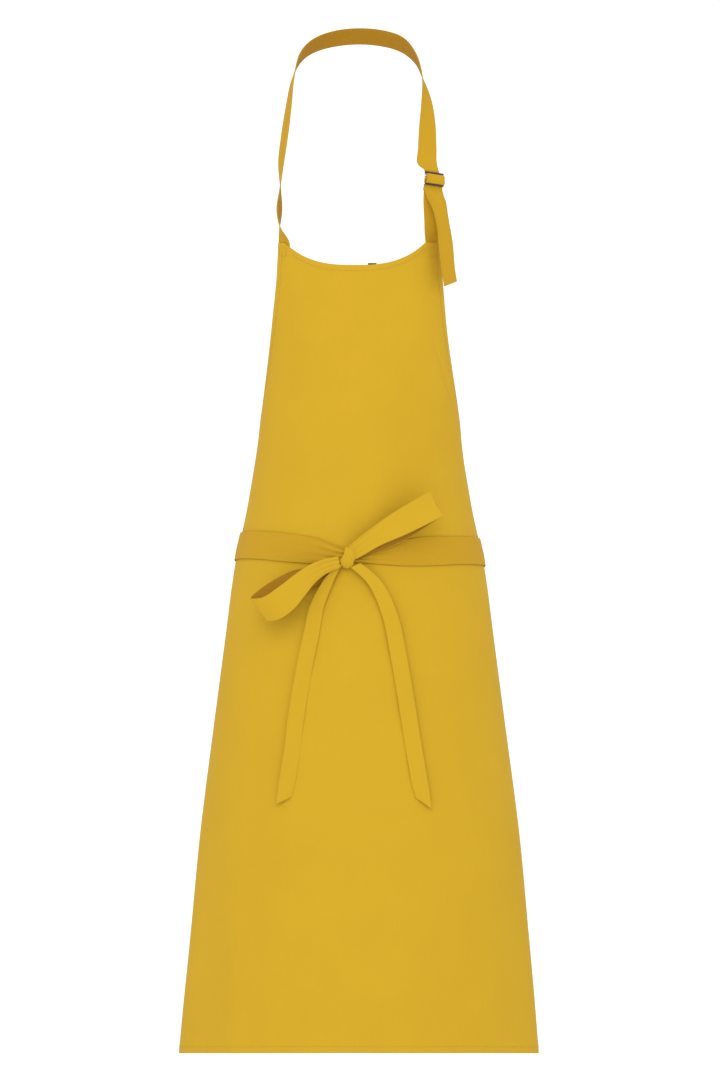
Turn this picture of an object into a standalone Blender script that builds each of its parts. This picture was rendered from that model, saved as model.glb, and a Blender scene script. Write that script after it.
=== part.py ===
"""Bib apron in woven cotton, worn: one panel, an adjustable neck strap, and waist ties tied in a bow at the front.

Metres, +Z up, the front towards -Y. The origin is the middle of the neck strap, where it rests behind the neck.
Heights below the origin are called drops and are positive. The cloth hangs on an oval section that changes
with the drop, and every soft piece is placed on that section or a little way off it.
"""

import math

import bmesh
import bpy
import numpy as np
from mathutils import Matrix, Vector

# The cut of the apron
LENGTH = 0.900  # strap corners to hem
BIB_DROP = 0.231  # the bib's top corners below the neck rest
HEM_DROP = BIB_DROP + LENGTH
ARMHOLE_DROP = 0.299  # height of the curve from a bib corner to a side corner
BIB_HALF = 0.104
SKIRT_HALF = 0.350
NECK_SAG = 0.026  # the neckline's curve below the bib corners
NECK_SHARE = 0.80  # share of the bib's half-width that the neckline's curve takes
NECK_POWER = 2.6  # 2 is a parabola, and more is flatter in the middle
CLOTH = 0.0008
HEM_WIDTH = 0.012
GAP = 0.0003

# Straps and ties, of cloth folded double or more
STRAP_WIDTH = 0.020
STRAP_THICK = 0.0011
TIE_WIDTH = 0.030
TIE_THICK = 0.0011
TAIL_WIDTH = 0.018  # a tail hangs folded lengthwise
TAIL_THICK = 0.0024
SEAM_ACROSS = {-1: 0.094, 1: 0.0885}  # the two strap seams, along the cloth from the middle
THREAD = 0.00025

# The slider: a plate with two slots, seen from the front
SLIDER_AT = Vector((0.083, -0.1400, -0.160))
SLIDER_LEAN = math.radians(8.5)
SLIDER_WIDTH = 0.0255
SLIDER_HEIGHT = 0.0147
SLIDER_THICK = 0.0016
BAR = 0.0022

# The bow's knot
KNOT_AT = Vector((-0.0117, -0.1733, -0.5810))
KNOT_HALF = Vector((0.0105, 0.0062, 0.0145))

# The oval section: drop, half-width, half-depth, and the Y of its front
SECTIONS = (
    (0.231, 0.0925, 0.052, -0.1650),
    (0.290, 0.0960, 0.056, -0.1650),
    (0.343, 0.1000, 0.062, -0.1650),
    (0.416, 0.1090, 0.082, -0.1650),
    (0.483, 0.1180, 0.101, -0.1650),
    (0.530, 0.1260, 0.112, -0.1655),
    (0.580, 0.1370, 0.114, -0.1665),
    (0.673, 0.1500, 0.118, -0.1720),
    (0.784, 0.1640, 0.127, -0.1800),
    (0.890, 0.1760, 0.134, -0.1880),
    (1.000, 0.1855, 0.140, -0.1940),
    (1.131, 0.1990, 0.148, -0.2000),
)

FLAT_FRONT = 0.0009  # how much of the oval's depth is cut off, which leaves its front flat

BODY = (0.664, 0.402, 0.019)
PALE = (0.598, 0.338, 0.016)
THREAD_COLOUR = (0.560, 0.300, 0.014)


# --- Collections, materials and smooth tables ---


def start_scene():
    for obj in list(bpy.data.objects):
        bpy.data.objects.remove(obj, do_unlink=True)
    parts = bpy.data.collections.new("bib_apron")
    bpy.context.scene.collection.children.link(parts)
    return parts


def finish_of(name, colour, roughness=0.9, metallic=0.0):
    material = bpy.data.materials.new(name)
    material.use_nodes = True
    shader = material.node_tree.nodes["Principled BSDF"]
    shader.inputs["Base Color"].default_value = (*colour, 1.0)
    shader.inputs["Roughness"].default_value = roughness
    shader.inputs["Metallic"].default_value = metallic
    return material


def read_table(table, at):
    """The values at a place in a table sorted by its first column, on one smooth curve."""
    rows = np.array(table, float)
    keys = rows[:, 0]
    values = rows[:, 1:]
    at = min(max(at, keys[0]), keys[-1])
    slopes = np.gradient(values, keys, axis=0)
    low = min(int(np.searchsorted(keys, at, side="right")) - 1, len(keys) - 2)
    span = keys[low + 1] - keys[low]
    part = (at - keys[low]) / span
    rise = part * part * (3 - 2 * part)
    curve = (1 - rise) * values[low] + rise * values[low + 1]
    curve += span * part * (1 - part) ** 2 * slopes[low]
    curve -= span * part**2 * (1 - part) * slopes[low + 1]
    return curve.tolist()


# --- The oval section ---


def on_section(angle, drop, lift=0.0):
    """The point at an angle round the section from its front, and that far outside it."""
    half, deep, front = read_table(SECTIONS, drop)
    behind = max(0.0, deep * (1 - math.cos(angle)) - FLAT_FRONT)
    point = Vector((half * math.sin(angle), front + behind, -drop))
    outward = Vector((deep * math.sin(angle), -half * math.cos(angle), 0.0)).normalized()
    return point + lift * outward


def angle_at(across, drop):
    """The angle that a length of cloth, measured round the section from the middle of the front, reaches."""
    half, deep, _ = read_table(SECTIONS, drop)
    angles = np.linspace(0, math.pi, 361)
    steps = np.hypot(half * np.diff(np.sin(angles)), deep * np.diff(np.cos(angles)))
    lengths = np.concatenate(([0.0], np.cumsum(steps)))
    return math.copysign(float(np.interp(abs(across), lengths, angles)), across)


def on_cloth(across, drop, lift=0.0):
    return on_section(angle_at(across, drop), drop, lift)


def front_at(x, drop, lift=0.0):
    """The point of the front at a distance from the middle plane."""
    half = read_table(SECTIONS, drop)[0]
    return on_section(math.asin(x / half), drop, lift)


# --- Pieces of cloth and thread ---


def add_object(parts, name, mesh, material):
    obj = bpy.data.objects.new(name, mesh)
    parts.objects.link(obj)
    mesh.materials.clear()
    mesh.materials.append(material)
    return obj


def add_cloth(parts, name, columns, rows, place, thickness, material):
    """An open grid whose corners go where place(column, row) says, thickened to both sides."""
    mesh = bpy.data.meshes.new(name)
    bm = bmesh.new()
    bmesh.ops.create_grid(bm, x_segments=columns, y_segments=rows, size=1.0)
    for vertex in bm.verts:
        column = round((vertex.co.x + 1) * columns / 2)
        row = round((vertex.co.y + 1) * rows / 2)
        vertex.co = place(column, row)
    bm.to_mesh(mesh)
    bm.free()
    mesh.shade_smooth()
    obj = add_object(parts, name, mesh, material)
    solid = obj.modifiers.new("Thickness", "SOLIDIFY")
    solid.thickness = thickness
    solid.offset = 0.0
    solid.use_even_offset = True
    return obj


def add_ribbon(parts, name, stations, steps, thickness, material):
    """A flat strip through stations of centre, direction across, and width, with some steps between each two."""
    table = []
    run = 0.0
    last = Vector(stations[0][0])
    for centre, across, width in stations:
        run += (Vector(centre) - last).length
        last = Vector(centre)
        table.append((run, *centre, *Vector(across).normalized(), width))

    def place(column, row):
        low = min(row // steps, len(table) - 2)
        start = table[low][0]
        at = start + (table[low + 1][0] - start) * (row / steps - low)
        values = read_table(table, at)
        side = Vector(values[3:6]).normalized() * values[6] / 2
        return Vector(values[:3]) + (side if column else -side)

    return add_cloth(parts, name, 1, steps * (len(table) - 1), place, thickness, material)


def add_thread(parts, name, points, material, cyclic=False):
    """A row of stitching, as one thin thread."""
    curve = bpy.data.curves.new(name, "CURVE")
    curve.dimensions = "3D"
    curve.bevel_depth = THREAD
    curve.bevel_resolution = 0
    curve.use_fill_caps = not cyclic
    spline = curve.splines.new("POLY")
    spline.points.add(len(points) - 1)
    for knot, point in zip(spline.points, points):
        knot.co = (*point, 1.0)
    spline.use_cyclic_u = cyclic
    return add_object(parts, name, curve, material)


# --- The panel ---

ARM_ROWS = 10
SKIRT_ROWS = 14
SIDE_COLUMNS = 11  # columns on each side of the middle one
MIDDLE_SHARE = 0.12  # the middle column's half-width, as a share of the cloth's


def outline(row):
    """The drop and the half-width of the cloth at a row, from the bib's top to the hem."""
    if row <= ARM_ROWS:
        turn = 0.5 * math.pi * row / ARM_ROWS
        wider = (SKIRT_HALF - BIB_HALF) * (1 - math.cos(turn))
        return BIB_DROP + ARMHOLE_DROP * math.sin(turn), BIB_HALF + wider
    share = (row - ARM_ROWS) / SKIRT_ROWS
    return BIB_DROP + ARMHOLE_DROP + share * (LENGTH - ARMHOLE_DROP), SKIRT_HALF


def share_of(column):
    """How far across the cloth a column is, from -1 to 1. The middle column is one flat strip."""
    side = column - SIDE_COLUMNS - 0.5
    steps = abs(side) - 0.5
    return math.copysign(MIDDLE_SHARE + (1 - MIDDLE_SHARE) * steps / SIDE_COLUMNS, side)


def neckline(share):
    """How far the neckline's curve is below the bib's corners."""
    return NECK_SAG * max(0.0, 1 - abs(share / NECK_SHARE) ** NECK_POWER)


def panel_point(column, row, lift=0.0):
    share = share_of(column)
    drop, half = outline(row)
    if row <= 1:
        drop += neckline(share) * (1.0, 0.35)[row]
    return on_cloth(share * half, drop, lift)


def add_panel(parts):
    columns = 2 * SIDE_COLUMNS + 1
    rows = ARM_ROWS + SKIRT_ROWS
    cotton = finish_of("cotton_panel", BODY)
    add_cloth(parts, "apron_panel", columns, rows, panel_point, CLOTH, cotton)


def add_facing(parts):
    """A strip of the same cloth inside the neckline, between the two strap ends."""
    edge = 4  # columns left free at each side for the strap ends
    columns = 2 * SIDE_COLUMNS + 1 - 2 * edge
    depth = 0.030

    def place(column, row):
        share = share_of(column + edge)
        drop = BIB_DROP + neckline(share) + 0.0015 + depth * row
        return on_cloth(share * BIB_HALF, drop, -0.0014)

    add_cloth(parts, "neck_facing", columns, 1, place, 0.0006, finish_of("cotton_facing", PALE))


# --- Neck strap, anchor tab and slider ---


def slider_frame():
    return Matrix.Translation(SLIDER_AT) @ Matrix.Rotation(SLIDER_LEAN, 4, "Y")


def by_slider(y, z):
    """A point of the slider's middle plane, from millimetres behind its centre and above it."""
    return slider_frame() @ Vector((0.0, y / 1000, z / 1000))


def round_bar(radius, start, end, steps):
    """Points on an arc round the slider's middle bar, in degrees from its back, over its top."""
    angles = [math.radians(start + (end - start) * i / steps) for i in range(steps + 1)]
    return [by_slider(radius * math.cos(a), radius * math.sin(a)) for a in angles]


SEAM_DROP = BIB_DROP - 0.0008  # the straps leave the bib just above its top edge
BEHIND = -0.0018  # and lie this far inside the cloth


def seam(side):
    """A strap's station where it leaves a bib corner, lying along the section there."""
    centre = on_cloth(side * SEAM_ACROSS[side], SEAM_DROP, BEHIND)
    outer = on_cloth(side * (SEAM_ACROSS[side] + 0.006), SEAM_DROP, BEHIND)
    return centre, outer - centre, STRAP_WIDTH


def add_neck_strap(parts, cotton):
    """From the left seam up behind the neck and down to the slider, where it goes over the middle bar."""
    width = STRAP_WIDTH
    bar = slider_frame().to_3x3() @ Vector((1, 0, 0))
    stations = [
        seam(-1),
        ((-0.0875, -0.1340, -0.2150), (-0.20, 0.98, 0.0), width),
        ((-0.0890, -0.1330, -0.1950), (0.30, 0.95, 0.0), width),
        ((-0.0880, -0.1285, -0.1590), (0.0, 1.0, 0.0), width),
        ((-0.0835, -0.1160, -0.1150), (-0.38, 0.92, 0.0), width),
        ((-0.0785, -0.0960, -0.0780), (-0.28, 0.95, 0.05), width),
        ((-0.0735, -0.0710, -0.0450), (-0.12, 0.97, -0.15), width),
        ((-0.0640, -0.0450, -0.0230), (0.05, 0.88, -0.50), width),
        ((-0.0450, -0.0170, -0.0080), (0.10, 0.60, -0.80), width),
        ((-0.0220, -0.0030, -0.0015), (0.05, 0.40, -0.92), width),
        ((0.0000, 0.0000, 0.0000), (0.0, 0.35, -0.94), width),
        ((0.0220, -0.0030, -0.0020), (-0.05, 0.38, -0.93), width),
        ((0.0445, -0.0160, -0.0075), (-0.12, 0.50, -0.86), width),
        ((0.0605, -0.0380, -0.0225), (-0.06, 0.85, -0.52), width),
        ((0.0695, -0.0620, -0.0450), (0.05, 0.98, -0.15), width),
        ((0.0745, -0.0860, -0.0740), (0.58, 0.81, 0.0), width),
        ((0.0755, -0.1035, -0.1000), (0.88, 0.47, 0.0), width),
        ((0.0753, -0.1195, -0.1250), (0.98, 0.20, 0.0), width),
        ((0.0760, -0.1330, -0.1450), (1.00, 0.05, -0.03), width),
        (by_slider(2.9, 8.5), bar, width),
        (by_slider(2.5, 6.2), bar, width),
    ]
    stations += [(point, bar, width) for point in round_bar(3.85, 75, 285, 10)]
    stations += [(by_slider(2.5, -6.2), bar, width), (by_slider(2.6, -9.1), bar, width)]
    add_ribbon(parts, "neck_strap", stations, 3, STRAP_THICK, cotton)


def add_anchor(parts, cotton):
    """The short tab from the right seam, sewn in a loop round the slider's middle bar."""
    width = STRAP_WIDTH
    bar = slider_frame().to_3x3() @ Vector((1, 0, 0))
    stations = [seam(1), ((0.0825, -0.1346, -0.2045), (1.0, 0.15, -0.05), width)]
    stations += [(by_slider(5.8, -20.0), bar, width), (by_slider(5.6, -13.0), bar, width)]
    stations += [(by_slider(5.5, -8.0), bar, width), (by_slider(4.9, -4.6), bar, width)]
    stations += [(by_slider(3.7, -1.9), bar, width), (by_slider(2.7, -0.1), bar, width)]
    stations += [(point, bar, width) for point in round_bar(2.25, 35, 250, 9)]
    stations += [(by_slider(0.6, -2.45), bar, width), (by_slider(2.2, -3.1), bar, width)]
    stations += [(by_slider(3.6, -4.8), bar, width), (by_slider(4.15, -8.0), bar, width)]
    stations += [(by_slider(4.15, -14.0), bar, width)]
    add_ribbon(parts, "strap_anchor", stations, 2, 0.0009, cotton)


def rounded_outline(width, height, radius, turn_steps=4):
    """The corners of a rectangle with round corners."""
    points = []
    for corner in range(4):
        side = (1, -1, -1, 1)[corner]
        rise = (1, 1, -1, -1)[corner]
        for step in range(turn_steps + 1):
            angle = 0.5 * math.pi * (corner + step / turn_steps)
            x = side * (width / 2 - radius) + radius * math.cos(angle)
            y = rise * (height / 2 - radius) + radius * math.sin(angle)
            points.append((x, y))
    return points


def add_slider(parts):
    """A flat nickel-plated plate with two slots and three bars across."""
    curve = bpy.data.curves.new("slider", "CURVE")
    curve.dimensions = "2D"
    curve.fill_mode = "BOTH"
    curve.bevel_depth = 0.0003
    curve.bevel_resolution = 1
    curve.extrude = SLIDER_THICK / 2 - curve.bevel_depth
    curve.offset = -curve.bevel_depth
    slot_height = (SLIDER_HEIGHT - 3 * BAR) / 2
    slot_width = SLIDER_WIDTH - 2 * 0.0019
    slot_lift = (BAR + slot_height) / 2
    outlines = [(rounded_outline(SLIDER_WIDTH, SLIDER_HEIGHT, 0.0018), 0.0)]
    outlines += [(rounded_outline(slot_width, slot_height, 0.0006, 2), lift) for lift in (slot_lift, -slot_lift)]
    for points, lift in outlines:
        spline = curve.splines.new("POLY")
        spline.points.add(len(points) - 1)
        for knot, (x, y) in zip(spline.points, points):
            knot.co = (x, y + lift, 0.0, 1.0)
        spline.use_cyclic_u = True
    nickel = finish_of("nickel", (0.70, 0.69, 0.66), 0.25, 1.0)
    obj = add_object(parts, "strap_slider", curve, nickel)
    obj.matrix_world = slider_frame() @ Matrix.Rotation(math.pi / 2, 4, "X")


TAIL_START = -10.1  # millimetres below the slider's centre


def tail_line():
    """The strap's free end, from the slider down past the seam."""
    width = STRAP_WIDTH
    bar = slider_frame().to_3x3() @ Vector((1, 0, 0))
    return [
        (by_slider(2.6, TAIL_START), bar, width),
        ((0.0838, -0.1390, -0.1780), bar, width),
        ((0.0885, -0.1420, -0.1900), (0.82, 0.57, 0.0), width),
        ((0.0925, -0.1445, -0.2080), (0.70, 0.71, 0.0), width),
        ((0.0960, -0.1460, -0.2325), (0.76, 0.65, 0.0), width),
        ((0.0982, -0.1460, -0.2560), (0.73, 0.68, 0.0), width),
        ((0.1012, -0.1455, -0.2790), (0.68, 0.73, 0.0), width),
    ]


def add_strap_tail(parts, cotton):
    stations = tail_line()
    upper = stations[:4]
    lower = stations[3:]
    centre, across, width = lower[0]
    drop = Vector(lower[1][0]) - Vector(centre)
    lower = [(Vector(centre) + drop.normalized() * GAP * 1.5, across, width)] + lower[1:]
    add_ribbon(parts, "strap_tail", upper, 3, STRAP_THICK, cotton)
    add_ribbon(parts, "strap_tail_end", lower, 3, STRAP_THICK, cotton)


def add_strap_ends(parts, cotton):
    """The two ends of the strap, sewn flat behind the bib's corners, with the stitching seen in front."""
    thread = finish_of("strap_thread", THREAD_COLOUR)
    length = 0.024
    for side, name in ((-1, "strap_end_left"), (1, "strap_end_right")):

        def place(column, row, side=side):
            across = side * SEAM_ACROSS[side] + (column - 0.5) * (STRAP_WIDTH - 0.003)
            return on_cloth(across, BIB_DROP + 0.0012 + length * row / 3, BEHIND)

        add_cloth(parts, name, 1, 3, place, 0.0009, cotton)
        half = 0.0065
        corners = ((-half, 0.0040), (half, 0.0040), (half, 0.0150), (-half, 0.0150))
        points = [on_cloth(side * SEAM_ACROSS[side] + x, BIB_DROP + z, 0.0012) for x, z in corners]
        add_thread(parts, name.replace("end", "stitching"), points, thread, cyclic=True)


# --- Waist ties and bow ---


def add_tie(parts, name, stations, cotton):
    """A tie laid round the section, through stations of angle in degrees, drop, lift in millimetres and width."""
    segments = 72
    first = stations[0][0]
    sign = 1 if stations[-1][0] > first else -1
    table = [(sign * angle, drop, lift / 1000, width) for angle, drop, lift, width in stations]
    low = table[0][0]
    high = table[-1][0]

    def place(column, row):
        at = low + (high - low) * row / segments
        drop, lift, width = read_table(table, at)
        half, deep, _ = read_table(SECTIONS, drop)
        angle = math.radians(at)
        along = math.hypot(half * math.cos(angle), deep * math.sin(angle))  # metres for each radian
        fall = (read_table(table, min(at + 1, high))[0] - read_table(table, max(at - 1, low))[0]) / 2
        lean = math.atan2(fall, along * math.radians(1))
        side = width / 2 if column else -width / 2
        turned = angle - side * math.sin(lean) / along
        return on_section(sign * turned, drop + side * math.cos(lean), lift)

    add_cloth(parts, name, 1, segments, place, TIE_THICK, cotton)


def add_waist_ties(parts, cotton):
    """Each tie leaves its own side corner, crosses the other behind the back and comes round to the front."""
    wide = TIE_WIDTH
    left = [
        (-157.0, 0.5430, 1.6, wide),
        (-163.0, 0.5440, 1.9, wide),
        (-169.0, 0.5500, 3.2, wide),
        (-180.0, 0.5630, 3.4, wide),
        (-191.0, 0.5780, 3.4, wide),
        (-200.0, 0.5850, 3.0, wide),
        (-218.0, 0.5850, 1.8, wide),
        (-245.0, 0.5800, 1.7, wide),
        (-275.0, 0.5750, 1.7, wide),
        (-305.0, 0.5735, 1.7, wide),
        (-333.0, 0.5740, 1.8, wide),
        (-345.0, 0.5752, 2.2, 0.021),
        (-358.2, 0.5790, 3.2, 0.013),
    ]
    right = [
        (157.0, 0.5430, 1.6, wide),
        (163.0, 0.5440, 1.7, wide),
        (169.0, 0.5500, 1.7, wide),
        (180.0, 0.5630, 1.7, wide),
        (191.0, 0.5780, 1.7, wide),
        (200.0, 0.5850, 1.7, wide),
        (218.0, 0.5850, 1.7, wide),
        (245.0, 0.5750, 1.7, wide),
        (275.0, 0.5685, 1.7, wide),
        (305.0, 0.5680, 1.7, wide),
        (330.0, 0.5720, 1.8, wide),
        (341.0, 0.5765, 2.2, 0.026),
        (349.0, 0.5800, 3.2, 0.018),
    ]
    add_tie(parts, "waist_tie_left", left, cotton)
    add_tie(parts, "waist_tie_right", right, cotton)
    thread = finish_of("tack_thread", THREAD_COLOUR)
    for side, name in ((-1, "tie_tack_left"), (1, "tie_tack_right")):
        corners = ((156.6, 0.5320), (156.6, 0.5540), (160.4, 0.5540), (160.4, 0.5320))
        points = [on_section(side * math.radians(angle), drop, 0.0032) for angle, drop in corners]
        add_thread(parts, name, points, thread, cyclic=True)


def add_knot(parts, cotton):
    """The wrap in the middle of the bow, a soft oval drawn tight."""
    bm = bmesh.new()
    bmesh.ops.create_uvsphere(bm, u_segments=20, v_segments=12, radius=1.0)
    mesh = bpy.data.meshes.new("bow_knot")
    bmesh.ops.scale(bm, vec=KNOT_HALF, verts=bm.verts)
    bmesh.ops.translate(bm, vec=KNOT_AT, verts=bm.verts)
    bm.to_mesh(mesh)
    bm.free()
    mesh.shade_smooth()
    add_object(parts, "bow_knot", mesh, cotton)


def add_loop(parts, name, start, tip, profile, cotton):
    """A bow loop: a strip that runs out from the knot, folds at the tip and comes back behind itself.

    The profile's rows are the share of the way out, the depth in front of the start, and the width.
    """
    out = Vector(tip) - Vector(start)
    across = Vector((out.z, 0.0, -out.x)).normalized()
    stations = []
    for share, deep, width in profile:
        stations.append((Vector(start) + share * out + Vector((0, -deep, 0)), across, width))
    add_ribbon(parts, name, stations, 4, TIE_THICK, cotton)


def add_bow(parts, cotton):
    add_knot(parts, cotton)
    right = (
        (0.00, 0.0030, 0.018),
        (0.30, 0.0120, 0.023),
        (0.65, 0.0170, 0.028),
        (0.93, 0.0140, 0.030),
        (1.00, 0.0070, 0.030),
        (0.93, 0.0010, 0.030),
        (0.65, -0.0020, 0.028),
        (0.30, -0.0025, 0.023),
        (0.00, -0.0020, 0.018),
    )
    left = (
        (0.00, 0.0030, 0.014),
        (0.30, 0.0150, 0.024),
        (0.65, 0.0210, 0.029),
        (0.92, 0.0140, 0.030),
        (1.00, 0.0020, 0.030),
        (0.93, -0.0110, 0.030),
        (0.65, -0.0100, 0.029),
        (0.30, -0.0040, 0.024),
        (0.00, -0.0020, 0.014),
    )
    add_loop(parts, "bow_loop_right", (0.0022, -0.1730, -0.5690), (0.0855, -0.1730, -0.5212), right, cotton)
    add_loop(parts, "bow_loop_left", (-0.0245, -0.1730, -0.5905), (-0.1110, -0.1730, -0.6380), left, cotton)


def add_bow_tails(parts, cotton):
    """The two free ends of the ties, hanging from the knot just off the skirt."""
    left = ((-0.0235, 0.6060), (-0.0325, 0.6180), (-0.0430, 0.6380), (-0.0510, 0.6640), (-0.0600, 0.7030))
    left += ((-0.0680, 0.7500), (-0.0740, 0.7980), (-0.0790, 0.8300), (-0.0823, 0.8510))
    right = ((0.0020, 0.6010), (0.0117, 0.6110), (0.0225, 0.6280), (0.0340, 0.6520), (0.0417, 0.6860))
    right += ((0.0480, 0.7220), (0.0551, 0.7665), (0.0606, 0.8010), (0.0669, 0.8377), (0.0700, 0.8540))
    for name, route in (("bow_tail_left", left), ("bow_tail_right", right)):
        stations = []
        for x, drop in route:
            near = math.exp(-(drop - 0.60) / 0.03)
            width = TAIL_WIDTH - 0.005 * near
            stations.append((front_at(x, drop, 0.0055 + 0.003 * near), (1.0, 0.05, 0.35 * near), width))
        add_ribbon(parts, name, stations, 2, TAIL_THICK, cotton)


# --- Labels and hems ---


def add_labels(parts):
    """A small blank tab inside the neckline, and a blank care label inside the left side hem."""
    tab_half = 0.0048
    tab_top = BIB_DROP + NECK_SAG - 0.0018

    def tab(column, row):
        x = 0.0145 + (2 * column - 1) * tab_half
        return front_at(x, tab_top + 0.016 * row, -0.0030)

    add_cloth(parts, "neck_label", 1, 1, tab, 0.0004, finish_of("label_black", (0.012, 0.011, 0.010), 0.7))

    def care(column, row):
        angle = angle_at(-0.310 + 0.025 * column, 0.760)
        return on_section(angle, 0.760 + 0.045 * row, -0.0030)

    add_cloth(parts, "care_label", 1, 1, care, 0.0004, finish_of("label_white", (0.78, 0.77, 0.74), 0.7))


def add_hem_stitching(parts):
    """The rows of stitching that hold the turned hems: armholes, sides, bottom and neckline."""
    thread = finish_of("hem_thread", THREAD_COLOUR)
    lift = 0.0011
    inset = HEM_WIDTH / 2 + 0.003
    for side, name in ((-1, "left"), (1, "right")):
        arm = []
        for step in range(1, 23):
            drop, half = outline(ARM_ROWS * step / 24)
            arm.append(on_cloth(side * (half - inset), drop + 0.3 * inset, lift))
        add_thread(parts, f"armhole_stitching_{name}", arm, thread)
        top = BIB_DROP + ARMHOLE_DROP + 0.075
        edge = SKIRT_HALF - inset
        rows = np.linspace(top, HEM_DROP - 2 * inset, 16)
        add_thread(parts, f"side_stitching_{name}", [on_cloth(side * edge, d, lift) for d in rows], thread)
    shares = np.linspace(-1, 1, 61)
    bottom = [on_cloth(s * (SKIRT_HALF - inset), HEM_DROP - inset, lift) for s in shares]
    add_thread(parts, "bottom_stitching", bottom, thread)
    neck = [on_cloth(s * 0.76 * BIB_HALF, BIB_DROP + neckline(s * 0.76) + 0.006, lift) for s in shares[::2]]
    add_thread(parts, "neckline_stitching", neck, thread)


def main():
    parts = start_scene()
    cotton = finish_of("cotton_straps", PALE)
    add_panel(parts)
    add_facing(parts)
    add_neck_strap(parts, cotton)
    add_anchor(parts, cotton)
    add_slider(parts)
    add_strap_tail(parts, cotton)
    add_strap_ends(parts, cotton)
    add_waist_ties(parts, cotton)
    add_bow(parts, cotton)
    add_bow_tails(parts, cotton)
    add_labels(parts)
    add_hem_stitching(parts)


main()
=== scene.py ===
import math

import bpy
import numpy as np
from mathutils import Matrix, Vector


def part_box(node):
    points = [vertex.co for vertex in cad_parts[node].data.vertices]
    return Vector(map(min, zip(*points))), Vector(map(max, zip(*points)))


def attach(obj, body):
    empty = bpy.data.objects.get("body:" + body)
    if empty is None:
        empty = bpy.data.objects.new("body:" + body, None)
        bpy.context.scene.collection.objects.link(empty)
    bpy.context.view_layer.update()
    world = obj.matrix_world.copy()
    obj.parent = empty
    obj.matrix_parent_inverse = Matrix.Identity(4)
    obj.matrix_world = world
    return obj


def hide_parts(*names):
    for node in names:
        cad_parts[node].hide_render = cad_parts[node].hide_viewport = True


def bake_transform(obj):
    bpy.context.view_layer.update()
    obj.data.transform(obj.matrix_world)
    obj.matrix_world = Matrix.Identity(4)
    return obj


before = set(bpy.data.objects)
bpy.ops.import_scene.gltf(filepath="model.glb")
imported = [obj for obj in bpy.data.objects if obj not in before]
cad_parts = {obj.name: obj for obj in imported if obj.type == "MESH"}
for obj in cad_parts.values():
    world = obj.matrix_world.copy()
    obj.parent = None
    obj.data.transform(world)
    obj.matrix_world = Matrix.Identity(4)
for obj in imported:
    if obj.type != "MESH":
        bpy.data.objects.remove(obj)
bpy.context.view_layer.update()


# --- Cotton twill ---
# Every soft piece is the same fine cotton twill, dyed mustard: matt, with a soft bloom at a low
# angle, shallow diagonal wales and uneven yarn. The strap and the waist ties use a copy of it with
# painted shade, a shade deeper than the panel and the bow. The inner faces of the strap and the
# bow's loops use a copy with deeper painted shade still.

WALE = 0.0009  # from one diagonal rib to the next
PANEL_COLOUR = (0.500, 0.303, 0.0135)
# Painted shade: the panel's cotton a shade deeper, for the strap and the waist ties.
SHADED_TIE_COLOUR = (0.460, 0.262, 0.0108)
# Deeper painted shade, for the inner faces of the strap and the bow's loops.
INNER_SHADE_COLOUR = (0.345, 0.172, 0.0085)
# The cloth's colour runs between the two factors below with the random tone of its yarn and flecks, and a
# little with the wales, as painted shade in their hollows and a painted highlight on their ribs.
DEEP_TONE_AND_SHADE = (0.92, 0.90, 0.86)  # the colour in the hollows of the weave, as a share of the cloth's own
LIGHTER = (1.07, 1.08, 1.10)
YARN_PER_METRE = (900.0, 60.0, 1.0)  # flecks in the yarn, across the cloth and along it


class Wire:
    """A socket of a finish. Sums and products of it add the Math nodes that work them out."""

    def __init__(self, finish, socket):
        self.finish = finish
        self.socket = socket

    def maths(self, operation, first, second):
        return self.finish.node("ShaderNodeMath", {"operation": operation}, {0: first, 1: second})

    def __add__(self, other):
        return self.maths("ADD", self, other)

    def __mul__(self, other):
        return self.maths("MULTIPLY", self, other)

    def __sub__(self, other):
        return self.maths("SUBTRACT", self, other)

    def __rsub__(self, other):
        return self.maths("SUBTRACT", other, self)

    __radd__ = __add__
    __rmul__ = __mul__


class Finish:
    """A material whose nodes are added one by one behind its shader."""

    def __init__(self, name, fixed):
        self.material = bpy.data.materials.new(name)
        self.material.use_nodes = True
        self.tree = self.material.node_tree
        self.shader = self.tree.nodes["Principled BSDF"]
        for socket, value in fixed.items():
            self.shader.inputs[socket].default_value = value

    def set(self, socket, value):
        if isinstance(value, Wire):
            self.tree.links.new(value.socket, socket)
        else:
            socket.default_value = value

    def node(self, kind, settings, inputs, output=0):
        """A node's output. A Mix node's colours are its inputs 6 and 7 and its output 2."""
        node = self.tree.nodes.new(kind)
        for name, value in settings.items():
            setattr(node, name, value)
        for name, value in inputs.items():
            self.set(node.inputs[name], value)
        return Wire(self, node.outputs[output])

    def put(self, name, value):
        self.set(self.shader.inputs[name], value)


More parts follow.
